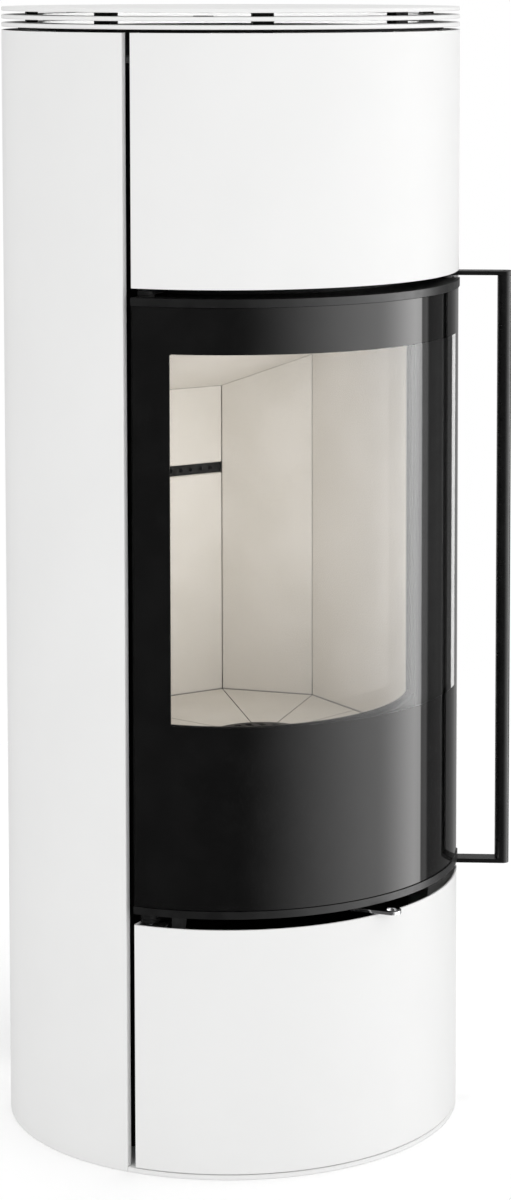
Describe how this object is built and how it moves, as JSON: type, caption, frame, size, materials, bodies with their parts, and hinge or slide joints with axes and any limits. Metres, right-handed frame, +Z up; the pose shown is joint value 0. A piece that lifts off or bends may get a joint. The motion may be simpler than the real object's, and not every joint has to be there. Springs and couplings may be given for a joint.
{
  "type": "wood stove",
  "caption": "Round free-standing wood stove with white sheet panels, a curved glazed door, bow handle, air lever, lower door and layered vent crown.",
  "frame": {"origin": "on the floor, on the axis of the round body, in the base plate's underside", "axes": "+Z up along the body's axis; +Y to the back, along the flue outlet; -Y to the front; +X to the viewer's right"},
  "size_m": [0.5033, 0.5567, 1.225],
  "materials": {
    "white_enamel": "satin white powder coat",
    "black_steel": "matte heat-proof black paint",
    "rim_black": "satin black",
    "handle_black": "satin black",
    "plain_steel": "plain zinc-plated",
    "chrome": "polished",
    "cast_iron": "as cast",
    "vermiculite": "matte pressed board",
    "printed_glass": "black print around a clear window, polished",
    "clear_glass": "clear ceramic glass",
    "gasket_rope": "braided glass rope"
  },
  "bodies": {
    "root": {"base_plate": "white_enamel", "levelling_screws": "plain_steel", "casing_left": "black_steel", "casing_right": "black_steel", "casing_rear": "black_steel", "casing_front_upper": "black_steel", "sill_plate": "black_steel", "apron_plate": "black_steel", "bay_floor": "black_steel", "firebox_floor_plate": "black_steel", "casing_top_plate": "black_steel", "smoke_shelf": "black_steel", "back_brick_lower": "vermiculite", "back_brick_upper": "vermiculite", "corner_brick_left": "vermiculite", "corner_brick_right": "vermiculite", "side_brick_left": "vermiculite", "side_brick_right": "vermiculite", "floor_bricks": "vermiculite", "baffle_plate": "vermiculite", "grate": "cast_iron", "rear_air_bar": "black_steel", "rear_air_duct": "black_steel", "ash_pan": "black_steel", "flue_spigot": "black_steel", "air_inlet": "black_steel", "side_panel_left": "white_enamel", "side_panel_right": "white_enamel", "upper_front_panel": "white_enamel", "panel_brackets": "black_steel", "rear_panel": "black_steel", "rear_screws": "plain_steel", "crown_frame": "black_steel", "vent_plate_lower": "white_enamel", "vent_plate_upper": "white_enamel", "top_plate": "white_enamel", "crown_spacers": "black_steel", "hinge_brackets": "black_steel", "hinge_pins": "plain_steel", "door_catch": "black_steel", "magnet_catch": "plain_steel", "lever_bracket": "black_steel", "lever_pivot": "plain_steel"},
    "stove_door": {"door_bottom_rim": "rim_black", "door_top_rim": "rim_black", "door_stile_left": "black_steel", "door_stile_right": "black_steel", "door_lower_panel": "black_steel", "door_glass": "printed_glass", "inner_glass": "clear_glass", "door_gasket": "gasket_rope", "door_hinge_bushes": "black_steel", "handle_bar": "handle_black", "handle_arms": "handle_black", "handle_screws": "plain_steel"},
    "lower_door": {"lower_door_panel": "white_enamel", "lower_door_fittings": "plain_steel"},
    "air_control": {"air_lever": "chrome", "air_damper": "black_steel"}
  },
  "joints": [
    {"name": "door_hinge", "type": "hinge", "parent": "root", "child": "stove_door", "pos_m": [-0.18808, -0.14173, 0.6], "axis": [0, 0, -1], "range_deg": [0, 105]},
    {"name": "lower_door_hinge", "type": "hinge", "parent": "root", "child": "lower_door", "pos_m": [-0.18808, -0.14173, 0.14], "axis": [0, 0, -1], "range_deg": [0, 100]},
    {"name": "air_lever_swing", "type": "hinge", "parent": "root", "child": "air_control", "pos_m": [0, -0.198, 0.272], "axis": [0, 0, -1], "range_deg": [0, 70]}
  ]
}
